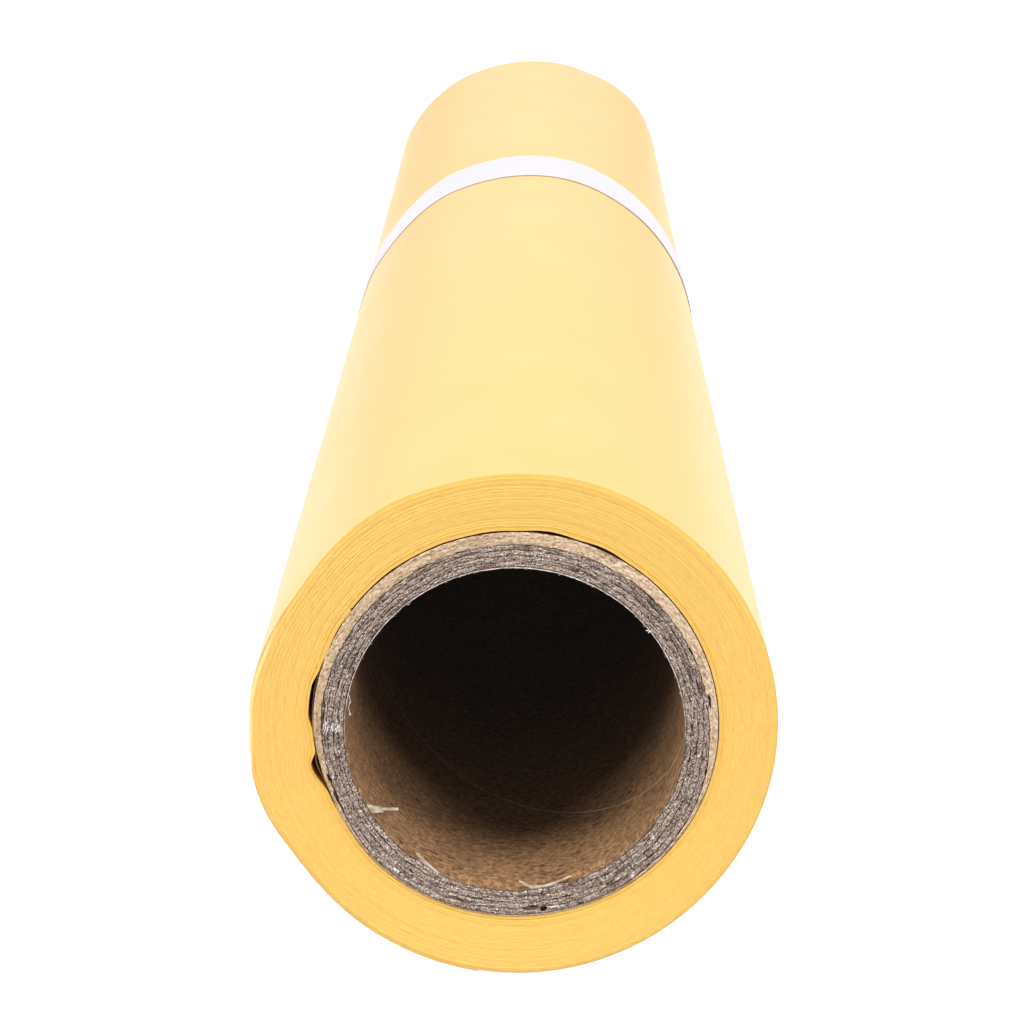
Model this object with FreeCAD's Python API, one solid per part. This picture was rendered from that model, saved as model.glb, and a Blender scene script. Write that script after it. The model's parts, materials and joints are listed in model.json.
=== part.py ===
import FreeCAD, Part
import math
import os

# A roll of sign vinyl: a long web of self-adhesive film on its release liner, wound on a
# spirally wound paper core and held shut by a paper band.
#
# Frame: millimetres. The origin is the centre of the core's bore at mid length, the roll lies
# along Y with its near end at -Y, and +Z is up. Angles are measured in the XZ plane from +X
# towards +Z, so 90 is the top of the roll and 270 its underside.

# Driving dimensions
WEB_WIDTH = 500.0            # length of the roll, the width the vinyl is sold in
BORE_R = 25.4                # two inch core
CORE_WALL = 4.9
ROLL_R = 39.25               # finished roll, before its bulges and flats

# Core
LINER_THICK = 0.4            # smooth kraft liner of the bore
GREY_PLIES = 4
GREY_PLY_THICK = 0.8
OUTER_PLY_THICK = 0.8        # tan kraft ply under the web
GLUE_LINE = 0.1              # glued joint between two plies

# Web
LAP_THICK = 0.2              # film and release liner together
LAP_GAP = 0.1                # air trapped between laps
EDGE_GAP = 1.0               # angle left free at the end of a lap drawn on its own
TAPE_THICK = 0.15
TAPE_START = 143.0           # angles that the start tape spans
TAPE_END = 160.0
TAPE_RAMP = 12.0             # angle over which the laps climb onto the tape
TAIL_ANGLE = 262.0           # where the last lap ends, near the underside

# Band
BAND_WIDTH = 30.0
BAND_NEAR_EDGE = 278.0       # distance from the roll's near end
BAND_THICK = 0.2
BAND_CLEARANCE = 0.3
BAND_OVERLAP = 36.0          # angle by which the strip's ends overlap
BAND_SEAM = 236.0            # where the outer end of the strip lies
BAND_GLUE_THICK = 0.1
BAND_GLUE_GAP = 0.05
BAND_GLUE_END_MARGIN = 4.0   # angle left without glue at the ends of the overlap
BAND_GLUE_SIDE_MARGIN = 4.0  # width left without glue along the strip's edges
BAND_CLIMB_ANGLE = 40.0      # over which the strip's outer end climbs over its inner end

# Bulges (+) and flats (-) of the finished roll: centre, half width in degrees, height
OUTLINE_BUMPS = [
    (75.0, 21.0, 0.25),
    (106.0, 16.0, -0.25),
    (136.0, 25.0, -0.35),
    (177.5, 21.5, 0.75),
    (196.0, 17.0, 0.9),
    (218.5, 14.5, -0.2),
    (271.0, 55.0, 0.4),
]

# Loose winding along the upper right of the core: centre, half width, height
LOOSE_WINDING = (72.0, 30.0, 0.3)

# Two buckles of the inner laps: rise from, rise to, fall from, fall to, height
BUCKLES = [
    (162.0, 169.0, 176.0, 181.0, 0.8),
    (187.0, 191.5, 192.5, 201.0, 1.15),
]
LOOSE_LAP_SHARE = 0.4        # how far the innermost lap follows the buckles

CORE_R = BORE_R + CORE_WALL
TURN = 360.0
SECTION_STEP = 1.5           # degrees between the points of a drawn outline


def smooth_step(value, start, end):
    """0 before start, 1 after end, with no kink between."""
    share = min(max((value - start) / (end - start), 0.0), 1.0)
    return share * share * (3.0 - 2.0 * share)


def bump(angle, centre, half_width, height):
    """A smooth swell of the outline around one angle."""
    away = (angle - centre + TURN / 2.0) % TURN - TURN / 2.0
    if abs(away) >= half_width:
        return 0.0
    return height * math.cos(away / half_width * math.pi / 2.0) ** 2


def buckles(angle):
    """Height of the two buckles at one angle."""
    turned = angle % TURN
    return sum(
        height * smooth_step(turned, rise, crest) * (1.0 - smooth_step(turned, brow, fall))
        for rise, crest, brow, fall, height in BUCKLES
    )


def over_tape(angle):
    """How far the start tape lifts the laps above it."""
    turned = angle % TURN
    climb = smooth_step(turned, TAPE_START - TAPE_RAMP, TAPE_START)
    descent = smooth_step(turned, TAPE_END, TAPE_END + TAPE_RAMP)
    return (TAPE_THICK + GLUE_LINE / 2.0) * climb * (1.0 - descent)


def first_lap_inside(angle):
    return CORE_R + LAP_GAP + over_tape(angle) + LOOSE_LAP_SHARE * buckles(angle)


def web_inside(angle):
    first_lap_outside = CORE_R + LAP_GAP + LAP_THICK + over_tape(angle)
    return first_lap_outside + LAP_GAP + buckles(angle) + bump(angle, *LOOSE_WINDING)


def roll_outline(angle):
    return ROLL_R + sum(bump(angle, *swell) for swell in OUTLINE_BUMPS)


def last_lap_outside(angle):
    """The outline, which rises by one lap's thickness in the turn that ends at the tail."""
    turns_to_tail = (TAIL_ANGLE + TURN - angle) / TURN
    return roll_outline(angle) - LAP_THICK * turns_to_tail


def last_lap_inside(angle):
    return last_lap_outside(angle) - LAP_THICK


def web_outside(angle):
    return last_lap_inside(angle) - LAP_GAP


def point(radius, angle):
    turned = math.radians(angle)
    return FreeCAD.Vector(radius * math.cos(turned), 0.0, radius * math.sin(turned))


def curve_through(radius_at, start, end):
    """Open smooth edge from one angle to another."""
    steps = max(2, math.ceil((end - start) / SECTION_STEP))
    angles = [start + (end - start) * i / steps for i in range(steps + 1)]
    spline = Part.BSplineCurve()
    spline.interpolate(Points=[point(radius_at(angle), angle) for angle in angles])
    return spline.toShape()


def closed_outline(radius_at):
    """Closed smooth wire once round the axis."""
    steps = math.ceil(TURN / SECTION_STEP)
    angles = [TURN * i / steps for i in range(steps)]
    spline = Part.BSplineCurve()
    points = [point(radius_at(angle), angle) for angle in angles]
    spline.interpolate(Points=points, PeriodicFlag=True)
    return Part.Wire([spline.toShape()])


def extruded(section_wires, near_y, length):
    face = Part.makeFace(section_wires, "Part::FaceMakerBullseye")
    face.translate(FreeCAD.Vector(0.0, near_y, 0.0))
    return face.extrude(FreeCAD.Vector(0.0, length, 0.0))


def strip(inside_at, outside_at, start, end, near_y, length):
    """A bent strip between two radii, from one angle to another, with square ends."""
    inside = curve_through(inside_at, start, end)
    outside = curve_through(outside_at, start, end)
    first_edge = Part.makeLine(point(inside_at(start), start), point(outside_at(start), start))
    last_edge = Part.makeLine(point(inside_at(end), end), point(outside_at(end), end))
    wire = Part.Wire(Part.__sortEdges__([inside, first_edge, outside, last_edge]))
    return extruded([wire], near_y, length)


def tube(inner_r, outer_r):
    base = FreeCAD.Vector(0.0, -WEB_WIDTH / 2.0, 0.0)
    along = FreeCAD.Vector(0.0, 1.0, 0.0)
    outer = Part.makeCylinder(outer_r, WEB_WIDTH, base, along)
    return outer.cut(Part.makeCylinder(inner_r, WEB_WIDTH, base, along))


def save(shape, node):
    if not shape.isValid() or len(shape.Solids) != 1:
        raise RuntimeError(node + " is not one valid solid")
    shape.exportStep(os.path.join("parts", node + ".step"))
    print(node, round(shape.Volume), "mm3")


def make_core():
    """Brown bore liner, grey chipboard plies and the tan outer ply, from the bore outwards."""
    radius = BORE_R
    save(tube(radius, radius + LINER_THICK), "core_bore_liner")
    radius += LINER_THICK + GLUE_LINE
    for number in range(1, GREY_PLIES + 1):
        save(tube(radius, radius + GREY_PLY_THICK), "core_grey_ply_" + str(number))
        radius += GREY_PLY_THICK + GLUE_LINE
    save(tube(radius, radius + OUTER_PLY_THICK), "core_outer_ply")


def make_start_tape():
    """Strip on the core that holds the beginning of the web."""
    inside = CORE_R + GLUE_LINE / 2.0
    outside = inside + TAPE_THICK
    tape = strip(
        lambda angle: inside, lambda angle: outside, TAPE_START, TAPE_END,
        -WEB_WIDTH / 2.0, WEB_WIDTH,
    )
    save(tape, "start_tape")


def make_first_lap():
    """The innermost lap, stuck to the tape and lying loose in the buckles."""
    start = TAPE_START
    end = TAPE_START + TURN - EDGE_GAP
    lap = strip(
        first_lap_inside, lambda angle: first_lap_inside(angle) + LAP_THICK, start, end,
        -WEB_WIDTH / 2.0, WEB_WIDTH,
    )
    save(lap, "first_lap")


def make_wound_web():
    """All the laps between the first and the last, as one mass."""
    tail = TAIL_ANGLE + TURN
    turn = curve_through(web_outside, TAIL_ANGLE, tail)
    step = Part.makeLine(point(web_outside(tail), tail), point(web_outside(TAIL_ANGLE), tail))
    inner = closed_outline(web_inside)
    section = [Part.Wire([turn, step]), inner]
    save(extruded(section, -WEB_WIDTH / 2.0, WEB_WIDTH), "wound_web")


def make_last_lap():
    """The outermost lap, which ends in the tail edge."""
    start = TAIL_ANGLE + EDGE_GAP
    end = TAIL_ANGLE + TURN
    lap = strip(last_lap_inside, last_lap_outside, start, end, -WEB_WIDTH / 2.0, WEB_WIDTH)
    save(lap, "last_lap")


def band_inside(angle):
    """Inside of the band's strip; past a full turn it has climbed over its own inner end."""
    climb = BAND_THICK + BAND_GLUE_THICK + 2.0 * BAND_GLUE_GAP
    overlap_start = BAND_SEAM + TURN - BAND_OVERLAP
    share = smooth_step(angle, overlap_start - BAND_CLIMB_ANGLE, overlap_start)
    return roll_outline(angle) + BAND_CLEARANCE + climb * share


def band_outside(angle):
    return band_inside(angle) + BAND_THICK


def band_glue_inside(angle):
    return band_outside(angle) + BAND_GLUE_GAP


def make_band():
    """Paper strip once round the roll, glued where its ends overlap."""
    near_y = BAND_NEAR_EDGE - WEB_WIDTH / 2.0
    start = BAND_SEAM - BAND_OVERLAP
    band = strip(band_inside, band_outside, start, BAND_SEAM + TURN, near_y, BAND_WIDTH)
    save(band, "paper_band")
    glue = strip(
        band_glue_inside,
        lambda angle: band_glue_inside(angle) + BAND_GLUE_THICK,
        start + BAND_GLUE_END_MARGIN,
        BAND_SEAM - BAND_GLUE_END_MARGIN,
        near_y + BAND_GLUE_SIDE_MARGIN,
        BAND_WIDTH - 2.0 * BAND_GLUE_SIDE_MARGIN,
    )
    save(glue, "band_glue")


os.makedirs("parts", exist_ok=True)
make_core()
make_start_tape()
make_first_lap()
make_wound_web()
make_last_lap()
make_band()
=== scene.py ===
import json
import math

import bpy
import numpy as np
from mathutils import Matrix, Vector


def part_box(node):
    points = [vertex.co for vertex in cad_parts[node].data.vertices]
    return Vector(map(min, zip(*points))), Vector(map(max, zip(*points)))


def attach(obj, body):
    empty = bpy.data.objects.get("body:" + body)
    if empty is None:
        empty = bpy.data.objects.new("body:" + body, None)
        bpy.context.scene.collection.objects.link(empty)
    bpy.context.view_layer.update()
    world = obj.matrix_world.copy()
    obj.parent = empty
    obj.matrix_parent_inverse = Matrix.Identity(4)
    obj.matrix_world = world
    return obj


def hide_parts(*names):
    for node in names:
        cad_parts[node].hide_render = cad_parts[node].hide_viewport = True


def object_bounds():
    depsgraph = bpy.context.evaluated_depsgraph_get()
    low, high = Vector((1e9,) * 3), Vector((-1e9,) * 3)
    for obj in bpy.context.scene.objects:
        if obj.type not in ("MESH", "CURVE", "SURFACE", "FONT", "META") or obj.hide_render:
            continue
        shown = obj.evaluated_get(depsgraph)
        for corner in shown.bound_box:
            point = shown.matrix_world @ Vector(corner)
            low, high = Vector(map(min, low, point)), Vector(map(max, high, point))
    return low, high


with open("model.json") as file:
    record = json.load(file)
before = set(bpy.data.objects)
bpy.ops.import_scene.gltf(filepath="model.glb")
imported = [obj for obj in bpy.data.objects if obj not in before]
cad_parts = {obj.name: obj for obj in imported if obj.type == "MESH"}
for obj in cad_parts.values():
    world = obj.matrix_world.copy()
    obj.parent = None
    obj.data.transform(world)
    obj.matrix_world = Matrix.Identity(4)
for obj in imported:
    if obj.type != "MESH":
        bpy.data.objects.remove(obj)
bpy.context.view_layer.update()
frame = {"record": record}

# A roll of sign vinyl lying on its side: paper core, wound web, loose first lap, last lap and
# paper band. Lengths are millimetres and become metres when a mesh is made. Angles are degrees
# in the XZ plane from +X towards +Z, as seen from the near end at -Y.

MM = 0.001
TURN = 360.0
rng = np.random.default_rng(20)

# ---------------------------------------------------------------- sizes, from the frame

mounts = {mount["name"]: mount for mount in frame["record"]["mounts"]}
BORE_R = mounts["core_bore"]["dims"]["r_mm"]
CORE_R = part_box("core_outer_ply")[1].x / MM
LINER_OUT_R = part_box("core_bore_liner")[1].x / MM
NEAR_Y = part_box("wound_web")[0].y / MM
FAR_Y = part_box("wound_web")[1].y / MM
BAND_NEAR_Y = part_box("paper_band")[0].y / MM
BAND_FAR_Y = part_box("paper_band")[1].y / MM

# ---------------------------------------------------------------- the winding's shape

ROLL_R = 39.35
LAP_THICK = 0.183
LINER_THICK = 0.1            # the rest of a lap is film and adhesive
START_ANGLE = 143.0          # the web's first edge
TAIL_ANGLE = 262.0           # its last edge, near the underside
LAPS = 46 + (TAIL_ANGLE - START_ANGLE) / TURN
BULGE_FADE = 0.3             # share of the winding in which the inner laps' bulges fade out

# Bulges (+) and flats (-) of the finished roll: centre, half width in degrees, height
OUTLINE_BUMPS = [
    (75.0, 21.0, 0.25),
    (85.0, 55.0, -0.2),
    (106.0, 16.0, -0.2),
    (139.0, 25.0, -0.5),
    (156.0, 11.0, 0.2),
    (177.5, 21.5, 0.8),
    (196.0, 17.0, 0.9),
    (218.5, 14.5, -0.2),
    (275.0, 55.0, 0.5),
]

# What the looser winding beyond the band adds to them at the far end
FAR_BUMPS = [(40.0, 34.0, 1.75), (90.0, 20.0, -0.2), (145.0, 37.0, 1.3)]
LOOSE_FROM_Y = 78.0          # where the band's far edge is at the end of its slide

# Where the roll's near edge is pressed in, and how deep that reaches
NEAR_PINCH = (151.0, 21.0, -0.5)
PINCH_DEPTH = 3.0

# Air under the first lap, and the core's own flat
GAP_BUMPS = [
    (60.0, 105.0, 0.05), (65.0, 9.0, 0.24), (80.5, 9.5, 0.28), (97.0, 7.0, 0.07), (111.0, 6.0, 0.04),
    (128.0, 9.0, 0.06), (150.0, 8.0, 0.15), (172.0, 14.0, 0.08), (319.0, 5.0, 0.03), (353.0, 10.0, 0.03),
]
CORE_FLAT = (202.0, 30.0, -0.5)
LEAST_GAP = 0.012

# Two buckles of the inner laps: rise from, rise to, fall from, fall to, height
BUCKLES = [
    (162.5, 168.5, 176.5, 181.5, 0.56),
    (187.0, 191.5, 192.5, 201.0, 1.25),
]
FIRST_LAP_SHARES = (0.15, 0.5)       # how far the loose first lap follows each buckle
FIRST_LAP_SLIPS = [(172.0, 14.0, 2.2), (194.0, 13.0, 1.8)]      # and slips into the roll there


def smooth_step(value, start, end):
    share = np.clip((value - start) / (end - start), 0.0, 1.0)
    return share * share * (3.0 - 2.0 * share)


def bump(angle, centre, half_width, height):
    away = (angle - centre + TURN / 2) % TURN - TURN / 2
    swell = height * np.cos(np.clip(away / half_width, -1, 1) * math.pi / 2) ** 2
    return np.where(np.abs(away) < half_width, swell, 0.0)


def buckle_heights(angle, shares=(1.0, 1.0)):
    turned = angle % TURN
    total = np.zeros_like(turned)
    for share, (rise, crest, brow, fall, height) in zip(shares, BUCKLES):
        shape = smooth_step(turned, rise, crest) * (1 - smooth_step(turned, brow, fall))
        total = total + share * height * shape
    return total


def core_radius(angle):
    return CORE_R + bump(angle, *CORE_FLAT)


def core_gap(angle):
    """Air between the core and the first lap, besides what the spiral's own rise leaves."""
    return LEAST_GAP + sum(bump(angle, *swell) for swell in GAP_BUMPS)


def looseness(y):
    """0 as far as the band can slide, rising to 1 at the far end."""
    return smooth_step(y, LOOSE_FROM_Y, FAR_Y)


def outline_bumps(angle, y):
    tight = sum(bump(angle, *swell) for swell in OUTLINE_BUMPS)
    pinch = np.exp(-((y - NEAR_Y) / PINCH_DEPTH) ** 2) * bump(angle, *NEAR_PINCH)
    return tight + pinch + looseness(y) * sum(bump(angle, *swell) for swell in FAR_BUMPS)


def wound_radius(laps, angle, y, buckle_shares=(1.0, 1.0)):
    """Radius of the web's inner side after so many laps, at one angle and one place along it."""
    depth = laps / LAPS
    inner = core_radius(angle) + core_gap(angle)
    spread = (ROLL_R - LAP_THICK - inner) * depth
    fade = np.exp(-depth / BULGE_FADE)
    swell = buckle_heights(angle, buckle_shares) * fade + outline_bumps(angle, y) * depth ** 2
    return inner + spread + swell


# ---------------------------------------------------------------- mesh tools


def grain(shape, smooth_rows, smooth_columns):
    """Seeded noise on a grid that wraps in its rows, smoothed, with a spread of about 1."""
    noise = rng.normal(size=shape)
    rows = np.fft.fftfreq(shape[0])[:, None]
    columns = np.fft.fftfreq(shape[1])[None, :]
    soft = np.exp(-2 * (math.pi * rows * smooth_rows) ** 2 - 2 * (math.pi * columns * smooth_columns) ** 2)
    noise = np.fft.ifft2(np.fft.fft2(noise) * soft).real
    return noise / (noise.std() + 1e-9)


def wobble(angle, amplitude, lowest, highest):
    """Seeded smooth wave round the axis, of that many to that many cycles a turn."""
    turned = np.radians(angle)
    total = np.zeros_like(turned)
    for cycles in range(lowest, highest + 1):
        total = total + rng.normal() * np.sin(cycles * turned + rng.uniform(0, 2 * math.pi))
    return amplitude * total / math.sqrt(highest - lowest + 1)


def new_object(name, points, faces, slots=None, **marks):
    """A closed mesh from points in millimetres, turned right side out.

    Marks are numbers by point that its materials read by name.
    """
    mesh = bpy.data.meshes.new(name)
    points = np.asarray(points, float) * MM
    faces = np.asarray(faces)
    first, second, third, fourth = (points[faces[:, corner]] for corner in range(4))
    volume = np.einsum("ij,ij->i", first, np.cross(second, third)).sum()
    volume += np.einsum("ij,ij->i", first, np.cross(third, fourth)).sum()
    if volume < 0:
        faces = faces[:, ::-1]
    mesh.vertices.add(len(points))
    mesh.vertices.foreach_set("co", points.ravel())
    mesh.loops.add(faces.size)
    mesh.loops.foreach_set("vertex_index", faces.ravel().astype(np.int32))
    mesh.polygons.add(len(faces))
    mesh.polygons.foreach_set("loop_start", np.arange(0, faces.size, 4, dtype=np.int32))
    if slots is not None:
        mesh.polygons.foreach_set("material_index", np.asarray(slots, np.int32))
    mesh.update(calc_edges=True)
    for mark, values in marks.items():
        attribute = mesh.attributes.new(mark, "FLOAT", "POINT")
        attribute.data.foreach_set("value", np.asarray(values, np.float32).ravel())
    mesh.polygons.foreach_set("use_smooth", np.ones(len(faces), bool))
    mesh.set_sharp_from_angle(angle=math.radians(45))
    mesh.validate()
    piece = bpy.data.objects.new(name, mesh)
    bpy.context.scene.collection.objects.link(piece)
    return piece


def grid_faces(rows, columns, wrap_rows=True, wrap_columns=True):
    """Quads of a grid of points numbered row by row."""
    row = np.arange(rows if wrap_rows else rows - 1)
    column = np.arange(columns if wrap_columns else columns - 1)
    row, column = np.meshgrid(row, column, indexing="ij")
    next_row, next_column = (row + 1) % rows, (column + 1) % columns
    corners = [row * columns + column, next_row * columns + column,
               next_row * columns + next_column, row * columns + next_column]
    return np.stack([corner.ravel() for corner in corners], axis=1)


def polar_points(angle, radius, y):
    turned = np.radians(angle)
    return np.stack([radius * np.cos(turned), y, radius * np.sin(turned)], axis=-1).reshape(-1, 3)


def eased(count, crowd):
    """Shares from 0 to 1, closer together towards both ends."""
    share = np.linspace(-1, 1, count)
    share = np.sign(share) * (1 - (1 - np.abs(share)) ** crowd)
    return (share + 1) / 2


def finish_piece(piece, body, slot, materials, *nodes):
    for material in materials:
        piece.data.materials.append(material)
    if nodes:
        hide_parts(*nodes)
    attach(piece, body)


# ---------------------------------------------------------------- materials

WHITE = (1.0, 1.0, 1.0)


class Material:
    """A node material with short ways to add what these surfaces need."""

    def __init__(self, name, roughness, specular):
        self.data = bpy.data.materials.new(name)
        self.data.use_nodes = True
        self.tree = self.data.node_tree
        self.shader = self.tree.nodes["Principled BSDF"]
        self.set("Roughness", roughness)
        self.set("IOR", 1.5)
        self.set("Specular IOR Level", specular)
        self.place = self.node("ShaderNodeTexCoord", {})["Object"]

    def set(self, socket, value):
        self.shader.inputs[socket].default_value = value

    def node(self, kind, inputs, **settings):
        """The outputs of a new node, whose inputs are values or the outputs of others."""
        made = self.tree.nodes.new(kind)
        for name, value in settings.items():
            setattr(made, name, value)
        for name, value in inputs.items():
            socket = made.inputs[name]
            if isinstance(value, bpy.types.NodeSocket):
                self.tree.links.new(value, socket)
            elif socket.type == "RGBA":
                socket.default_value = (*value, 1.0)
            else:
                socket.default_value = value
        return made.outputs

    def link(self, output, socket):
        self.tree.links.new(output, self.shader.inputs[socket])

    def vector_maths(self, operation, *values):
        outputs = self.node("ShaderNodeVectorMath", dict(enumerate(values)), operation=operation)
        return outputs["Value" if operation == "LENGTH" else "Vector"]

    def round_axis(self, stretch, shift=0.0):
        """Coordinates in which a pattern runs round the roll's axis, drawn out by that factor."""
        across = self.vector_maths("MULTIPLY", self.place, (1.0, 0.0, 1.0))
        heading = self.vector_maths("NORMALIZE", across)
        around = self.vector_maths("MULTIPLY", heading, (CORE_R * MM / stretch,) * 3)
        along = self.vector_maths("MULTIPLY", self.place, (0.0, 1.0, 0.0))
        distances = {"X": shift, "Y": self.vector_maths("LENGTH", across)}
        outwards = self.node("ShaderNodeCombineXYZ", distances)["Vector"]
        return self.vector_maths("ADD", self.vector_maths("ADD", around, along), outwards)

    def share_along(self, axis, start, end):
        """0 to 1 between two places along X, Y or Z, in metres."""
        places = self.node("ShaderNodeSeparateXYZ", {"Vector": self.place})
        return self.spread(places[axis], start, end, 0.0, 1.0)

    def mark(self, name):
        """A number that the mesh carries by point."""
        return self.node("ShaderNodeAttribute", {}, attribute_name=name)["Fac"]

    def noise(self, scale, detail=2.0, roughness=0.5, place=None, distortion=0.0):
        inputs = {"Vector": place or self.place, "Scale": scale, "Detail": detail}
        inputs.update({"Roughness": roughness, "Distortion": distortion})
        return self.node("ShaderNodeTexNoise", inputs)["Fac"]

    def ramp(self, factor, *stops):
        """Colours by factor; each stop is a place and a colour."""
        colours = self.node("ShaderNodeValToRGB", {"Fac": factor})["Color"]
        elements = colours.node.color_ramp.elements
        while len(elements) < len(stops):
            elements.new(0.5)
        for element, (place, colour) in zip(elements, stops):
            element.position = place
            element.color = (*colour, 1.0)
        return colours

    def mix(self, factor, first, second, blend="MIX"):
        """Two colours mixed; a mix node's colours are its inputs 6 and 7 and its output 2."""
        inputs = {0: factor, 6: first, 7: second}
        return self.node("ShaderNodeMix", inputs, data_type="RGBA", blend_type=blend)[2]

    def times(self, colour, *others):
        """Colours multiplied together."""
        for other in others:
            colour = self.mix(1.0, colour, other, "MULTIPLY")
        return colour

    def spread(self, value, low, high, new_low, new_high):
        """A number moved from one range to another, and kept within it."""
        inputs = {"Value": value, "From Min": low, "From Max": high, "To Min": new_low, "To Max": new_high}
        return self.node("ShaderNodeMapRange", inputs)["Result"]

    def bumps(self, *layers):
        """Bump layers, each a height, a strength and a distance in metres."""
        below = {}
        for height, strength, distance in layers:
            inputs = {"Height": height, "Strength": strength, "Distance": distance, **below}
            below = {"Normal": self.node("ShaderNodeBump", inputs)["Normal"]}
        self.link(below["Normal"], "Normal")

    def colour(self, output):
        self.link(output, "Base Color")

    def rough(self, noise, low, high):
        """Roughness that goes from low to high over the middle of a noise's range."""
        self.link(self.spread(noise, 0.3, 0.7, low, high), "Roughness")

    def glow(self, colour, strength):
        self.set("Emission Color", (*colour, 1.0))
        self.set("Emission Strength", strength)

    def mottled(self, tone, dark, pale, rough, relief, edge=0.3):
        """Colour, roughness and relief that each follow a noise of their own.

        Tone is that noise's scale and detail, rough a scale, a low and a high, and relief a
        scale, a detail, a strength and a distance.
        """
        self.colour(self.ramp(self.noise(*tone), (edge, dark), (1 - edge, pale)))
        self.rough(self.noise(rough[0]), *rough[1:])
        self.bumps((self.noise(*relief[:2]), *relief[2:]))
        return self.data


def film_material():
    """Calendered yellow film: smooth and satin."""
    film = Material("yellow_film", roughness=0.3, specular=0.5)
    return film.mottled(
        (9, 2), (0.800, 0.452, 0.080), (0.815, 0.462, 0.085),
        rough=(25, 0.29, 0.33), relief=(2200, 2, 0.05, 0.00001),
    )


def slit_edge_material(name, roughness, specular, dark, pale, fine_scale, fine_strength):
    """The web's slit edge: deeper near the core, with a painted groove shadow a few laps out, and a painted
    pale sheen where it stands in.
    """
    edge = Material(name, roughness, specular)
    lap = edge.mark("lap")
    change = {"W": lap, "Scale": 1.9, "Detail": 3}
    by_lap = edge.node("ShaderNodeTexNoise", change, noise_dimensions="1D")["Fac"]
    tones = edge.ramp(by_lap, (0.35, dark), (0.65, pale))
    # Painted groove shadow: the edges are darker at laps 3.3 to 3.5, where a lap stands in further.
    line = edge.ramp(
        edge.spread(lap, 0.0, 20.0, 0.0, 1.0),
        (0.0, (1.0, 0.95, 0.80)), (0.155, (1.0, 0.96, 0.86)), (0.165, (0.88, 0.80, 0.66)),
        (0.175, (0.88, 0.80, 0.66)), (0.19, (1.0, 0.97, 0.88)), (0.6, WHITE),
    )
    streaks = edge.noise(4200, roughness=0.6, place=edge.round_axis(5.0))
    streaked = edge.ramp(streaks, (0.35, (0.97, 0.93, 0.88)), (0.65, (1.03, 1.07, 1.12)))
    # Painted sheen: cut edges that stand in from the ends are mixed towards pale yellow.
    edge.colour(edge.mix(edge.mark("worn"), edge.times(tones, line, streaked), (0.99, 0.79, 0.36)))
    edge.bumps((edge.noise(fine_scale), fine_strength, 0.00002))
    return edge


def film_edge_material():
    """The film's cut: saturated, and a little rougher than its face."""
    edge = slit_edge_material("film_edge", 0.5, 0.35, (0.88, 0.519, 0.114), (0.965, 0.606, 0.148), 4000, 0.2)
    edge.rough(edge.noise(900), 0.5, 0.6)
    return edge.data


def liner_edge_material():
    """The release liner's cut, which the films beside it tint yellow."""
    edge = slit_edge_material("liner_edge", 0.65, 0.3, (0.89, 0.535, 0.123), (0.97, 0.627, 0.160), 5000, 0.3)
    edge.rough(edge.noise(900), 0.6, 0.75)
    return edge.data


def liner_back_material():
    """The release liner's back: white paper with a lilac cast."""
    paper = Material("liner_back", roughness=0.7, specular=0.3)
    return paper.mottled(
        (900, 4), (0.72, 0.66, 0.70), (0.82, 0.77, 0.80),
        rough=(1200, 0.65, 0.8), relief=(3000, 3, 0.3, 0.00003),
    )


def chipboard_material(name, number):
    """Torn grey board: dense speckle of pale fibres on dark pulp, drawn out round the core."""
    board = Material(name, roughness=0.9, specular=0.2)
    shift = 0.011 * number               # no two plies have the same pattern
    fine = board.noise(5200, roughness=0.75, place=board.round_axis(1.35, shift))
    pulp = board.ramp(
        fine, (0.33, (0.098, 0.064, 0.050)), (0.45, (0.305, 0.220, 0.176)),
        (0.53, (0.540, 0.418, 0.345)), (0.68, (0.900, 0.790, 0.715)),
    )
    streaks = board.noise(1300, place=board.round_axis(6.0, shift))
    bands = board.ramp(streaks, (0.36, (0.50, 0.44, 0.42)), (0.44, WHITE), (0.66, (1.06, 1.05, 1.05)))
    specks = board.noise(1900, detail=1, place=board.round_axis(1.3, shift + 0.3))
    white = board.ramp(specks, (0.70, (0.0, 0.0, 0.0)), (0.76, (0.62, 0.62, 0.62)))
    # Darker towards the bottom of the board's ends.
    darker_low = board.mix(board.share_along("Z", -0.031, -0.018), (0.86, 0.83, 0.82), WHITE)
    board.colour(board.mix(1.0, board.times(pulp, darker_low, bands), white, "ADD"))
    board.rough(fine, 0.95, 0.8)
    board.bumps((fine, 0.8, 0.00022), (streaks, 0.5, 0.0002))
    return board.data


def tan_ply_material():
    """Cut edge of the outer kraft ply, paler towards the right."""
    ply = Material("kraft_outer", roughness=0.85, specular=0.25)
    fine = ply.noise(3300, detail=3, roughness=0.7, place=ply.round_axis(1.8))
    fibre = ply.ramp(
        fine, (0.32, (0.34, 0.215, 0.13)), (0.46, (0.57, 0.40, 0.255)),
        (0.56, (0.67, 0.485, 0.325)), (0.70, (0.86, 0.70, 0.54)),
    )
    streaks = ply.noise(700, place=ply.round_axis(6.0, 0.05))
    bands = ply.ramp(streaks, (0.34, (0.80, 0.76, 0.72)), (0.44, WHITE))
    # Paler towards the right.
    paler_rightwards = ply.mix(ply.share_along("X", 0.0, 0.028), (1.06, 1.06, 1.05), (1.19, 1.21, 1.25))
    ply.colour(ply.times(fibre, paler_rightwards, bands))
    ply.rough(fine, 0.92, 0.78)
    ply.bumps((fine, 0.5, 0.00015), (streaks, 0.4, 0.0002))
    return ply.data


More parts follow.
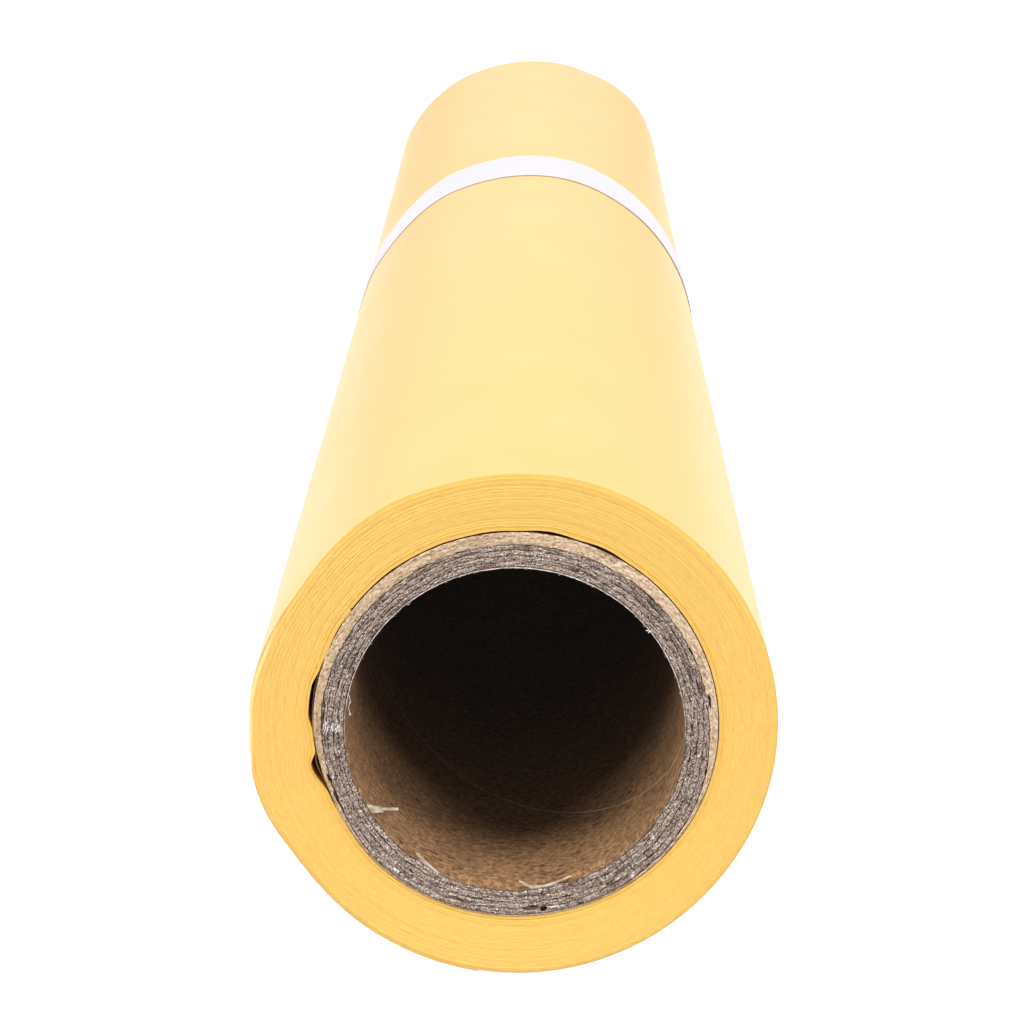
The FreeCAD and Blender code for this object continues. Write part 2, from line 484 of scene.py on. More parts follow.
def painted_shade_kraft_material():
    """The core's outside under the web: kraft painted near black as the shade of the narrow gap there."""
    shade_kraft = Material("painted_shade_kraft", roughness=0.8, specular=0.2)
    fine = shade_kraft.noise(1800, detail=3)
    shade_kraft.colour(shade_kraft.ramp(fine, (0.35, (0.075, 0.028, 0.016)), (0.65, (0.14, 0.062, 0.034))))
    shade_kraft.rough(fine, 0.85, 0.7)
    shade_kraft.bumps((fine, 0.4, 0.0001))
    return shade_kraft.data


def bore_liner_material():
    """Brown kraft of the bore, with fibres laid round it, dark flecks and a painted highlight along its seam.
    """
    kraft = Material("kraft_liner", roughness=0.75, specular=0.25)
    fibres = kraft.noise(1500, detail=4, roughness=0.75, place=kraft.round_axis(1.6), distortion=0.3)
    base = kraft.ramp(
        fibres, (0.34, (0.110, 0.052, 0.022)), (0.50, (0.225, 0.120, 0.055)), (0.64, (0.390, 0.235, 0.120)),
    )
    flecks = kraft.noise(950, place=kraft.round_axis(2.2, 0.07))
    spots = kraft.ramp(flecks, (0.30, (0.28, 0.22, 0.18)), (0.37, WHITE))
    cloud = kraft.ramp(kraft.noise(90, detail=3), (0.35, (0.86, 0.84, 0.82)), (0.65, (1.1, 1.08, 1.05)))
    # Painted highlight: the kraft turns paler along the seam's edges.
    seam = kraft.spread(kraft.mark("seam"), 0.3, 0.9, 0.0, 0.6)
    kraft.colour(kraft.mix(seam, kraft.times(base, spots, cloud), (0.62, 0.46, 0.30)))
    kraft.glow((1.0, 0.97, 0.90), 0.003)         # painted light: a faint glow of the kraft, no lamp, that lightens the deep bore
    kraft.rough(fibres, 0.85, 0.68)
    kraft.bumps((fibres, 0.5, 0.00012), (kraft.noise(160, detail=3), 0.3, 0.0003))
    return kraft.data


def bore_edge_material():
    """The liner's cut edge on the core's ends: frayed to pale grey above, brown below."""
    edge = Material("kraft_liner_edge", roughness=0.85, specular=0.2)
    fine = edge.noise(2600, detail=3, roughness=0.7, place=edge.round_axis(2.4))
    pale = edge.ramp(fine, (0.38, (0.30, 0.24, 0.21)), (0.62, (0.78, 0.71, 0.67)))
    brown = edge.ramp(fine, (0.38, (0.15, 0.09, 0.05)), (0.62, (0.40, 0.27, 0.17)))
    edge.colour(edge.mix(edge.share_along("Z", -0.004, 0.006), brown, pale))
    edge.rough(fine, 0.9, 0.75)
    edge.bumps((fine, 0.6, 0.00015))
    return edge.data


def fibre_material(name, dark, pale):
    """Loose fibres and torn paper."""
    fibre = Material(name, roughness=0.75, specular=0.25)
    return fibre.mottled(
        (900, 3), dark, pale, rough=(1500, 0.65, 0.85), relief=(3000, 2, 0.4, 0.00005), edge=0.35,
    )


def band_material():
    """White paper with a faint lilac cast."""
    paper = Material("band_paper", roughness=0.6, specular=0.3)
    cloud = paper.noise(300, detail=5)
    paper.colour(paper.ramp(cloud, (0.3, (0.630, 0.613, 0.655)), (0.7, (0.655, 0.635, 0.675))))
    fibres = paper.noise(1800, detail=4, roughness=0.65)
    paper.rough(fibres, 0.55, 0.68)
    paper.bumps((fibres, 0.15, 0.00002), (paper.noise(40, detail=3), 0.3, 0.0002))
    return paper.data


def glue_material():
    glue = Material("paper_glue", roughness=0.4, specular=0.4)
    return glue.mottled(
        (500, 3), (0.80, 0.76, 0.62), (0.90, 0.87, 0.76),
        rough=(700, 0.3, 0.5), relief=(900, 2, 0.3, 0.00005),
    )


def tape_material():
    tape = Material("start_tape", roughness=0.25, specular=0.5)
    return tape.mottled(
        (400, 3), (0.74, 0.68, 0.52), (0.84, 0.80, 0.66),
        rough=(500, 0.2, 0.32), relief=(700, 2, 0.2, 0.00005),
    )


# ---------------------------------------------------------------- paper core

CORE_STEPS = 1000            # points round a ply
CORE_ANGLES = np.arange(CORE_STEPS) * TURN / CORE_STEPS
SEAM_PITCH = 140.7           # axial length of one turn of the core's helical seams
EDGE_FADE = 1.3              # depth within which the cut ends of the plies return to their shape
RIM_THICK = 0.14             # what shows of the bore liner on the cut ends
JOINT = 0.02                 # half of the least gap between two plies
END_DEPTHS = (0.35, 0.8, 1.4, 2.2, 3.4)
BURR = 0.65                  # how far the bore's edge leans inwards over the top, and outwards underneath
BURR_TURN = 10.0             # angle from the burr's middle to the top
BORE_BULGE = (215.0, 28.0, -0.25)

# Thickness of the tan outer ply on the cut ends, by angle: thick over the top, thin underneath
TAN_PLY = [
    (0, 1.35), (30, 1.7), (75, 1.95), (130, 1.9), (160, 1.5), (180, 1.1),
    (200, 0.7), (220, 0.3), (250, 0.15), (290, 0.15), (315, 0.35), (340, 0.6),
]
TAN_NOTCH = (8.3, 3.2, 0.5)

# Slits and pits of the board's near end: angle, half angle, radius, half height, depth
PITS = [
    (274.6, 2.6, 29.15, 0.4, 3.5),
    (278.2, 1.3, 29.5, 0.42, 3.5),
    (289.4, 0.9, 29.95, 0.2, 2.0),
    (196.2, 1.3, 29.3, 0.18, 2.0),
    (202.7, 2.0, 29.3, 0.17, 2.0),
    (8.0, 2.4, 29.25, 0.16, 1.6),
]

# Where the bore liner's edge is torn back: angle, half angle, depth
LINER_TEARS = [(239.0, 5.5, 2.2), (281.5, 8.5, 1.3)]


def end_share(y):
    """1 at either end of the core, fading to 0 within a few millimetres."""
    depth = np.maximum(np.minimum(y - NEAR_Y, FAR_Y - y), 0)
    return np.exp(-(depth / EDGE_FADE) ** 2)


def bore_edge(angle):
    """The bore's edge on the cut ends: burred inwards over the top and rubbed away underneath."""
    return BORE_R + 0.04 - BURR * np.sin(np.radians(angle + BURR_TURN)) + bump(angle, *BORE_BULGE)


def tan_thickness(angle):
    angles, thicknesses = zip(*TAN_PLY)
    return np.interp(angle, angles, thicknesses, period=TURN) - bump(angle, *TAN_NOTCH)


def pit_depth(angle, radius):
    depth = np.zeros(np.broadcast(angle, radius).shape)
    for centre, half_angle, middle, half_height, deepest in PITS:
        away = np.hypot((angle - centre) / half_angle, (radius - middle) / half_height)
        depth = np.maximum(depth, deepest * (1 - smooth_step(away, 0.55, 1.15)))
    return depth


def wall_places(between_ends):
    """Places along the core, closer together where its ends change shape."""
    near = [NEAR_Y + depth for depth in END_DEPTHS]
    far = [FAR_Y - depth for depth in END_DEPTHS]
    middle = np.linspace(near[-1], far[-1], between_ends + 2)[1:-1]
    return np.concatenate([near, middle, far[::-1]])


def make_ply(name, slot, node, body, cut, materials, roughness, dip, end_columns, between_ends=4):
    """A tube with torn, fibrous ends: body and cut are its two radii by angle, inside and at the ends.

    Its section is a loop: near end from bore to outside, outer wall, far end, inner wall. The
    outer wall takes the last material. Dip is how far its edges are sunk into the ends.
    """
    share = np.linspace(0, 1, end_columns)[None, :]
    size = (CORE_STEPS, end_columns)
    edge_dip = dip * np.abs(2 * share - 1) ** 4

    def across(radii):
        return radii[0][:, None] * (1 - share) + radii[1][:, None] * share

    def torn():
        return np.abs(grain(size, 0.9, 0.5) + grain(size, 9, 2) * 0.8) * roughness + edge_dip

    near = NEAR_Y + torn() + pit_depth(CORE_ANGLES[:, None], across(cut))
    far = FAR_Y - torn()
    walls = wall_places(between_ends)
    wall = np.repeat(walls[None, :], CORE_STEPS, 0)
    y = np.concatenate([near, wall, far[:, ::-1], wall[:, ::-1]], 1)

    def around(radii):
        inner, outer = (np.repeat(radius[:, None], len(walls), 1) for radius in radii)
        ends = across(radii)
        return np.concatenate([ends, outer, ends[:, ::-1], inner], 1)

    radius = around(body) + (around(cut) - around(body)) * end_share(y)
    points = polar_points(np.repeat(CORE_ANGLES[:, None], y.shape[1], 1), radius, y)
    slots = np.zeros(y.shape, int)
    slots[:, end_columns - 1: end_columns + len(walls)] = len(materials) - 1
    piece = new_object(name, points, grid_faces(*y.shape), slots.ravel())
    finish_piece(piece, "roll", slot, materials, node)


def make_core(boards, tan, shade_kraft, kraft, kraft_edge):
    """The plies, whose joints stray and gape on the cut ends."""
    angle = CORE_ANGLES
    outside = core_radius(angle)
    board_outer = outside - tan_thickness(angle)
    shares = np.linspace(0, 1, len(boards) + 1)
    body_inner = LINER_OUT_R + JOINT
    cut_inner = bore_edge(angle) + RIM_THICK + JOINT
    body = [body_inner + (board_outer - body_inner) * share for share in shares]
    lay = [wobble(angle, 0.07, 3, 60) * math.sin(math.pi * share) ** 0.3 for share in shares]
    lay[-1] = wobble(angle, 0.05, 20, 120) * np.minimum(tan_thickness(angle), 1.0)
    cut = [cut_inner + (board_outer - cut_inner) * share + shift for share, shift in zip(shares, lay)]
    gaps = [JOINT + np.clip(wobble(angle, 0.05, 4, 70), 0, 0.12) for _ in shares]
    gaps[0] = np.full(CORE_STEPS, JOINT)
    gaps[-1] += 0.03
    for number, board in enumerate(boards):
        name = "grey_ply_" + str(number + 1)
        make_ply(
            name, "chipboard", "core_" + name,
            (body[number] + JOINT, body[number + 1] - JOINT),
            (cut[number] + gaps[number], cut[number + 1] - gaps[number + 1]),
            [board], 0.13, 0.16, 11,
        )
    # The outer ply's outer wall lies under the web and is painted near black as shade of the gap.
    make_ply(
        "outer_ply", "kraft_outer", "core_outer_ply",
        (body[-1] + JOINT, outside), (cut[-1] + gaps[-1], outside), [tan, shade_kraft], 0.07, 0.06, 14, 24,
    )
    finish_piece(make_bore_liner(), "roll", "kraft_liner", [kraft, kraft_edge], "core_bore_liner")


# Grid lines beside the seam, in degrees from it
SEAM_LINES = (-1.1, -0.62, -0.38, -0.14, 0.14, 0.38, 0.62, 1.1)
SEAM_DEPTH = 0.05


def make_bore_liner():
    """The bore's lining, whose grid is twisted so that its helical butt seam is real.

    Its section is a loop: near end, outer wall, far end, inner wall. Each of its columns has the
    turn of its grid, a share from inside to outside, a place, and whether it shows the seam.
    """
    local = np.sort(np.concatenate([SEAM_LINES, np.linspace(1.6, TURN - 1.6, 280)]) % TURN)
    from_seam = (local + TURN / 2) % TURN - TURN / 2
    seam = np.exp(-((np.abs(from_seam) - 0.4) / 0.2) ** 2)
    inner_places = np.concatenate([wall_places(0), np.linspace(NEAR_Y + 6, FAR_Y - 6, 200)])
    end_columns = 4
    shares = np.linspace(0, 1, end_columns)
    length = FAR_Y - NEAR_Y
    far_twist = length / SEAM_PITCH * TURN % TURN
    fuzz = np.abs(grain((len(local), end_columns), 0.8, 0.5)) * 0.07
    tear = sum(bump(local, *tear_shape) for tear_shape in LINER_TEARS)
    across = np.ones(len(local))
    columns = []
    for share, torn in zip(shares, fuzz.T):
        columns.append((0.0, share, NEAR_Y + torn + tear, 0.0))
    for place in wall_places(28):
        columns.append((-far_twist * (place - NEAR_Y) / length, 1.0, place * across, 0.0))
    for share, torn in zip(shares[::-1], fuzz.T[::-1]):
        columns.append((-far_twist, share, FAR_Y - torn, 0.0))
    for place in np.sort(inner_places)[::-1]:
        columns.append((-(place - NEAR_Y) / SEAM_PITCH * TURN, 0.0, place * across, 1.0))
    turns, outward, y, shows_seam = (np.stack(values, -1) for values in zip(*columns))
    angle = local[:, None] + turns[None, :]
    # The walls' first places give way where the near end is torn back
    y[:, :end_columns + 2] = np.maximum.accumulate(y[:, :end_columns + 2], axis=1)
    y[:, -4:] = np.maximum(y[:, -4:], y[:, :1])
    mark = seam[:, None] * shows_seam[None, :]
    edge = bore_edge(angle)
    inner = BORE_R + (edge - BORE_R) * end_share(y) - SEAM_DEPTH * mark
    outer = LINER_OUT_R + (edge + RIM_THICK - LINER_OUT_R) * end_share(y)
    radius = inner + (outer - inner) * outward[None, :]
    slots = np.zeros(y.shape, int)
    slots[:, :end_columns - 1] = 1
    points = polar_points(angle, radius, y)
    # The seam mark also carries the painted highlight along the seam.
    return new_object("bore_liner", points, grid_faces(*y.shape), slots.ravel(), seam=mark.ravel())


# ---------------------------------------------------------------- wound web

EVEN_STEPS = 198             # points round each lap away from the buckles
BUCKLE_STEPS = 105           # and across the buckles
BUCKLE_SPAN = (156.0, 208.0)
SHEEN_FROM = 0.25             # how far in a cut edge stands where its painted pale sheen starts
SHEEN_FULLY = 0.7
KNOCKED_LAPS = 3.0           # outer laps that stand in from the ends
KNOCKED = (172.0, 22.0, 1.3)         # by this much more at the left
EDGE_STAND_IN = 0.12         # of the slit edges from the roll's ends
PULLED_LAP = 3.4             # a lap that stands in a little further
GROOVE = 0.015               # how much deeper the joint between two laps lies
LINER_CORNER = 0.14          # share of a lap at which its liner's edge stands out
FILM_STAND_IN = 0.008        # of the film's edge from its liner's
SINGLE_STAND_IN = 0.13       # of the first and the last lap, drawn on their own
LAYER_AIR = 0.002            # between the two layers of such a lap
LAST_LAP_AIR = 0.004


def lap_angles():
    """Angles round one lap from the web's first edge, closer together across the buckles."""
    first, last = BUCKLE_SPAN
    across = np.linspace(first, last, BUCKLE_STEPS, endpoint=False)
    before_share = (first - START_ANGLE) / (TURN - (last - first))
    before_steps = round(EVEN_STEPS * before_share)
    before = np.linspace(START_ANGLE, first, before_steps, endpoint=False)
    after = np.linspace(last, START_ANGLE + TURN, EVEN_STEPS - before_steps, endpoint=False)
    return np.concatenate([before, across, after])


# The share of painted pale sheen on a cut edge, by how far it stands in.
def worn_share(recess):
    return smooth_step(recess, SHEEN_FROM, SHEEN_FULLY)


def outer_recess(laps, angle):
    """The last few laps stand in from the ends, as if the roll's edge was knocked."""
    from_outside = np.clip(laps - (LAPS - KNOCKED_LAPS), 0, KNOCKED_LAPS)
    return from_outside * (0.04 + bump(angle, *KNOCKED))


def lap_offsets(laps, angle):
    """How far the web's slit edge stands in from the roll's end, along the spiral."""
    count = len(laps)
    noise = np.convolve(rng.normal(size=count + 99), np.hanning(100) / 30, "valid")
    by_lap = rng.normal(size=int(laps[-1]) + 3)
    step = np.interp(laps, np.arange(len(by_lap)), by_lap)
    pulled = 0.07 * np.exp(-((laps - PULLED_LAP) / 0.5) ** 2)
    return EDGE_STAND_IN + 0.014 * step + 0.008 * noise + pulled + outer_recess(laps, angle)


def web_end(laps, angle, joint_r, end_y, inwards, n):
    """Rows of points along the spiral at one end: joint, then the lines within each lap.

    The joint between two laps lies deeper than the laps beside it.
    """
    count = len(angle) - n
    offset = lap_offsets(laps[:count], angle[:count])
    deepest = np.concatenate([offset, offset[-n:]])
    deepest[n:count] = np.maximum(deepest[n:count], offset[: count - n])
    # Painted sheen on the edges of the outer laps that stand in.
    worn = worn_share(outer_recess(laps, angle))
    lines = [(joint_r, end_y + inwards * (deepest + GROOVE), laps)]
    thick = joint_r[n:] - joint_r[:count]
    for share, stand_in in ((LINER_CORNER, 0.0), (LINER_THICK / LAP_THICK, FILM_STAND_IN)):
        radius = joint_r[:count] + thick * share
        lines.append((radius, end_y + inwards * (offset + stand_in), laps[:count] + share))
    points = [polar_points(angle[: len(radius)], radius, y) for radius, y, _ in lines]
    return points, [np.stack([lap, worn[: len(lap)]], 1) for _, _, lap in lines]


def rim(rails, n, inside):
    """The points of an end's inner or outer edge, with the step where the spiral starts or stops."""
    around = rails[0][: n + 1] if inside else rails[-1][-n - 1:]
    at = 0 if inside else -1
    step = [rail[at] for rail in rails[1:-1]]
    return np.array(list(around) + step[::-1])


def wall_between(near_points, far_points, place):
    """Points of the web's wall: straight along the roll, and following its shape across it."""
    share = (place - NEAR_Y) / (FAR_Y - NEAR_Y)
    points = near_points + (far_points - near_points) * looseness(place)
    points[:, 1] = near_points[:, 1] + (far_points[:, 1] - near_points[:, 1]) * share
    return points


def make_wound_web(film, film_edge, liner_edge):
    """Every lap but the first and the last, as the spiral that they are."""
    one_lap = lap_angles()
    n = len(one_lap)
    index = np.arange(int(LAPS) * n)
    angle = one_lap[index % n] + TURN * (1 + index // n)
    count = int(np.searchsorted(angle, START_ANGLE + TURN * (LAPS - 1))) + 1
    angle = angle[:count + n]
    laps = (angle - START_ANGLE) / TURN
    points, marks, faces, slots, rims = [], [], [], [], []
    total = 0
    for end_y, inwards in ((NEAR_Y, 1), (FAR_Y, -1)):
        joint_r = wound_radius(laps, angle, end_y)
        lines, lap_marks = web_end(laps, angle, joint_r, end_y, inwards, n)
        starts = total + np.cumsum([0] + [len(line) for line in lines])
        points += lines
        marks += lap_marks
        total = starts[-1]
        joints = starts[0] + np.arange(count + n)
        rails = [joints[:count]] + [start + np.arange(count) for start in starts[1:-1]] + [joints[n:]]
        for slot, first, second in zip((2, 2, 1), rails, rails[1:]):
            quad = np.stack([first[:-1], first[1:], second[1:], second[:-1]], 1)
            faces.append(quad[:, ::inwards])
            slots.append(np.full(len(quad), slot))
        rims.append((rim(rails, n, True), rim(rails, n, False)))
    places = np.linspace(NEAR_Y, FAR_Y, 16)[1:-1]
    for near_rim, far_rim, order in zip(*rims, (-1, 1)):
        all_points = np.concatenate(points)
        rows = [near_rim]
        for place in places:
            points.append(wall_between(all_points[near_rim], all_points[far_rim], place))
            marks.append(np.zeros((len(near_rim), 2)))
            rows.append(total + np.arange(len(near_rim)))
            total += len(near_rim)
        for first, second in zip(rows, rows[1:] + [far_rim]):
            following_first, following_second = np.roll(first, -1), np.roll(second, -1)
            quad = np.stack([first, second, following_second, following_first], 1)
            faces.append(quad[:, ::order])
            slots.append(np.zeros(len(quad), int))
    lap, worn = np.concatenate(marks).T
    points, faces, slots = np.concatenate(points), np.concatenate(faces), np.concatenate(slots)
    piece = new_object("wound_laps", points, faces, slots, lap=lap, worn=worn)
    finish_piece(piece, "roll", "vinyl", (film, film_edge, liner_edge), "wound_web")


# ---------------------------------------------------------------- strips: laps, band, tapes


def strip_mesh(name, angle, inner, outer, near_y, far_y, places, **marks):
    """A bent strip with square ends, whose cut edges take its second material.

    Its radii are by angle, or by angle and place; places are shares of its width. Marks are
    numbers by angle.
    """
    steps, columns = len(angle), len(places)
    y = near_y[:, None] + (far_y - near_y)[:, None] * places[None, :]
    outer_r = np.broadcast_to(outer if outer.ndim == 2 else outer[:, None], y.shape)
    inner_r = np.broadcast_to(inner if inner.ndim == 2 else inner[:, None], y.shape)
    radius = np.concatenate([outer_r, inner_r[:, ::-1]], 1)
    section = 2 * columns
    around = np.repeat(angle[:, None], section, 1)
    points = polar_points(around, radius, np.concatenate([y, y[:, ::-1]], 1))
    k = np.arange(columns - 1)
    start_cap = np.stack([k, k + 1, section - 2 - k, section - 1 - k], 1)
    end_cap = start_cap[:, ::-1] + (steps - 1) * section
    sides = grid_faces(steps, section, wrap_rows=False)
    column = np.tile(np.arange(section), steps - 1)
    cut_edge = (column == columns - 1) | (column == section - 1)
    slots = np.concatenate([cut_edge.astype(int), np.ones(2 * len(k), int)])
    faces = np.concatenate([sides, start_cap, end_cap])
    by_point = {mark: np.repeat(values, section) for mark, values in marks.items()}
    return new_object(name, points, faces, slots, **by_point)


def make_lap(name, laps_before, steps, columns, radius_at, recess, materials):
    """One lap of the web as its two layers: the release liner inside and the film outside."""
    film, liner, film_edge, liner_edge = materials
    laps = laps_before + np.linspace(0.001, 0.999, steps)
    angle = START_ANGLE + laps * TURN
    places = eased(columns, 1.7)
    y = NEAR_Y + (FAR_Y - NEAR_Y) * places
    inner = radius_at(laps[:, None], angle[:, None], y[None, :])
    # Painted sheen where its edges stand in, but none on the first lap.
    worn = worn_share(recess(laps, angle)) * (laps > 1)
    offset = SINGLE_STAND_IN + wobble(angle, 0.008, 1, 12) + recess(laps, angle)
    layers = (
        ("_liner", 0.0, LINER_THICK, 0.0, (liner, liner_edge)),
        ("_film", LINER_THICK + LAYER_AIR, LAP_THICK, FILM_STAND_IN, (film, film_edge)),
    )
    marks = {"lap": laps, "worn": worn}
    for layer, low, high, stand_in, layer_materials in layers:
        near, far = NEAR_Y + offset + stand_in, FAR_Y - offset - stand_in
        piece = strip_mesh(name + layer, angle, inner + low, inner + high, near, far, places, **marks)
        finish_piece(piece, "roll", "vinyl", layer_materials, name)


def first_lap_radius(laps, angle, y):
    """The first lap lies against the next one, except where it hangs loose in the buckles."""
    against_web = wound_radius(laps, angle, y, FIRST_LAP_SHARES)
    return np.maximum(against_web, core_radius(angle) + LEAST_GAP)


def first_lap_recess(laps, angle):
    """Where it hangs loose, the first lap has slipped inwards."""
    return sum(bump(angle, *slip) for slip in FIRST_LAP_SLIPS)


def last_lap_radius(laps, angle, y):
    return wound_radius(laps, angle, y) + LAST_LAP_AIR


TAPE_SPAN = 17.0
TAPE_STAND_IN = 3.0
TAPE_AIR = 0.003


def make_start_tape(material):
    """The tape under the web's first edge."""
    angle = np.linspace(START_ANGLE, START_ANGLE + TAPE_SPAN, 50)
    laps = (angle - START_ANGLE) / TURN
    inner = core_radius(angle) + TAPE_AIR
    outer = first_lap_radius(laps, angle, NEAR_Y) - TAPE_AIR
    near = NEAR_Y + TAPE_STAND_IN + wobble(angle * 9, 0.08, 1, 6)
    far = FAR_Y - TAPE_STAND_IN + wobble(angle * 9, 0.08, 1, 6)
    piece = strip_mesh("web_start_tape", angle, inner, outer, near, far, np.linspace(0, 1, 24))
    finish_piece(piece, "roll", "tape", [material, material], "start_tape")


BAND_SEAM = 236.0            # where the band's outer end lies
BAND_OVERLAP = 36.0
BAND_THICK = 0.08
BAND_AIR = 0.02              # between the band and the roll
BAND_STAND_IN = 0.12         # of its edges from its box, which leaves room for their wave
BAND_EDGE_WAVE = 0.07
GLUE_MARGIN = 4.0            # left free of glue, in degrees and in millimetres
GLUE_THICK = 0.03


def band_radius(angle):
    """Inside of the band, which climbs over its own inner end."""
    first = BAND_SEAM - BAND_OVERLAP
    climb = (BAND_THICK + 0.07) * smooth_step(angle, first + TURN - 34.0, first + TURN - 2.0)
    return ROLL_R + outline_bumps(angle, BAND_NEAR_Y) + BAND_AIR + climb


def make_band(paper, glue):
    """Paper strip once round the roll, with its ends glued over each other."""
    steps, columns = 900, 34
    first = BAND_SEAM - BAND_OVERLAP
    angle = np.linspace(first, BAND_SEAM + TURN, steps)
    places = np.linspace(0, 1, columns)
    creases = np.abs(grain((steps, columns), 22, 9)) * 0.02 * np.sin(places * math.pi)[None, :]
    inner = band_radius(angle)[:, None] + creases
    near = BAND_NEAR_Y + BAND_STAND_IN + wobble(angle, BAND_EDGE_WAVE, 1, 5)
    far = BAND_FAR_Y - BAND_STAND_IN + wobble(angle, BAND_EDGE_WAVE, 1, 5)
    piece = strip_mesh("band_strip", angle, inner, inner + BAND_THICK, near, far, places)
    finish_piece(piece, "band", "band_paper", [paper, paper], "paper_band")
    angle = np.linspace(first + GLUE_MARGIN, BAND_SEAM - GLUE_MARGIN, 60)
    inner = band_radius(angle) + BAND_THICK + 0.025
    near = BAND_NEAR_Y + GLUE_MARGIN + wobble(angle * 7, 0.3, 1, 6)
    far = BAND_FAR_Y - GLUE_MARGIN + wobble(angle * 7, 0.3, 1, 6)
    places = np.linspace(0, 1, 20)
    patch = strip_mesh("band_glue_patch", angle, inner, inner + GLUE_THICK, near, far, places)
    finish_piece(patch, "band", "glue", [glue, glue], "band_glue")


# ---------------------------------------------------------------- loose fibres


def rods(name, rods_rings):
    """Closed four-sided rods as one mesh, each given by its rings of four points."""
    faces, total = [], 0
    for rings in rods_rings:
        last = total + (len(rings) - 1) * 4
        caps = np.array([[total + k for k in range(4)], [last + k for k in (3, 2, 1, 0)]])
        faces += [grid_faces(len(rings), 4, wrap_rows=False) + total, caps]
        total += len(rings) * 4
    points = np.concatenate([rings.reshape(-1, 3) for rings in rods_rings])
    return new_object(name, points, np.concatenate(faces))


def thread_rings(path, radius):
    """A thin thread with tapered ends along a path."""
    along = np.gradient(path, axis=0)
    along /= np.linalg.norm(along, axis=1)[:, None] + 1e-9
    no_threads_way = np.array([0.3, 0.2, 0.93])
    across = np.cross(along, no_threads_way)
    across /= np.linalg.norm(across, axis=1)[:, None] + 1e-9
    upright = np.cross(along, across)
    taper = 0.35 + 0.65 * np.sin(np.linspace(0, 1, len(path)) * math.pi) ** 0.5
    turns = (np.arange(4) / 4 * 2 * math.pi)[None, :, None]
    ring = across[:, None, :] * np.cos(turns) + upright[:, None, :] * np.sin(turns)
    return path[:, None, :] + ring * (radius * taper)[:, None, None]


def cut_face_fibres(count):
    """Short fibres that stand and lie on the core's torn near and far ends."""
    threads = []
    for end_y, outwards in ((NEAR_Y, -1), (FAR_Y, 1)):
        for _ in range(count):
            angle = rng.uniform(0, TURN)
            radius = rng.uniform(bore_edge(angle) + 0.35, core_radius(angle) - 0.25)
            length = rng.uniform(0.25, 0.9)
            heading = rng.normal(0, 0.7)
            share = np.linspace(-0.5, 0.5, 4)[:, None]
            centre = polar_points(np.array([angle]), np.array([radius]), np.array([end_y - outwards * 0.14]))
            turned = math.radians(angle)
            around = np.array([-math.sin(turned), 0, math.cos(turned)])
            outward = np.array([math.cos(turned), 0, math.sin(turned)])
            direction = around * math.cos(heading) + outward * math.sin(heading)
            lift = np.array([0, outwards * 0.08, 0]) * rng.uniform(0.3, 1) * (1 - 4 * share ** 2)
            path = centre + direction * share * length + lift
            threads.append(thread_rings(path, rng.uniform(0.02, 0.042)))
    return threads


def curved(points, count):
    """A smooth path through a few points (Catmull-Rom)."""
    points = [2 * points[0] - points[1]] + points + [2 * points[-1] - points[-2]]
    path = []
    spans = len(points) - 3
    for k in range(spans):
        a, b, c, d = points[k: k + 4]
        for t in np.linspace(0, 1, count, endpoint=k == spans - 1):
            path.append(0.5 * (2 * b + (c - a) * t + (2 * a - 5 * b + 4 * c - d) * t ** 2
                               + (3 * b - a - 3 * c + d) * t ** 3))
    return np.array(path)


def near_end_path(places, count):
    """A path by angle, radius and depth into the roll from its near end."""
    angle, radius, depth = np.array(places, float).T
    return curved(list(polar_points(angle, radius, NEAR_Y + depth)), count)


# Single fibres of the near end: thickness, then angle, radius and depth along each
LONG_FIBRES = [
    # a curled thread with two knots, at the left of the bore
    (
        0.045, (168.5, 25.5, 0.1), (169.3, 25.2, 0.1), (171.0, 25.0, 0.2), (173.2, 25.1, 0.15),
        (175.0, 24.8, 0.2), (176.2, 24.7, 0.3),
    ),
    (0.08, (170.4, 25.05, 0.15), (171.2, 24.95, 0.15), (171.6, 25.15, 0.2)),
    (0.08, (174.9, 24.9, 0.15), (175.5, 24.75, 0.15), (175.6, 25.0, 0.2)),
    # a white tuft at the upper right of the bore
    (0.10, (36.7, 25.1, 0.1), (37.2, 24.85, 0.1), (37.0, 24.6, 0.1)),
    (0.08, (38.2, 25.1, 0.1), (37.8, 24.8, 0.1), (38.3, 24.6, 0.15)),
    # a pale torn line and a thin tan one, in the board at the lower left
    (0.07, (256.3, 29.1, 0.1), (259.5, 28.9, 0.1), (263.0, 28.6, 0.1)),
    (0.05, (225.0, 29.5, 0.12), (232.0, 29.45, 0.12), (240.0, 29.55, 0.12), (248.0, 29.5, 0.12)),
    # a tuft beside the pits
    (0.08, (279.4, 29.45, 0.12), (281.5, 29.35, 0.1), (283.7, 29.4, 0.12)),
    (0.07, (279.8, 29.2, 0.12), (281.0, 29.3, 0.1), (282.8, 29.15, 0.12)),
]

# White specks of the board's near end: angle, radius, size
SPECKS = [
    (83.3, 26.3, 0.16), (144.2, 25.9, 0.14), (150.6, 27.4, 0.15), (162.5, 26.3, 0.16), (260.3, 27.9, 0.15),
]

# Tufts of white fibres at the left of the near end: angle, radius, spread, fibres
TUFTS = [(180.2, 28.5, 0.42, 15), (180.8, 27.4, 0.3, 6), (180.6, 26.5, 0.4, 13)]
FRINGE = 70                  # fine fibres round the bore's near edge


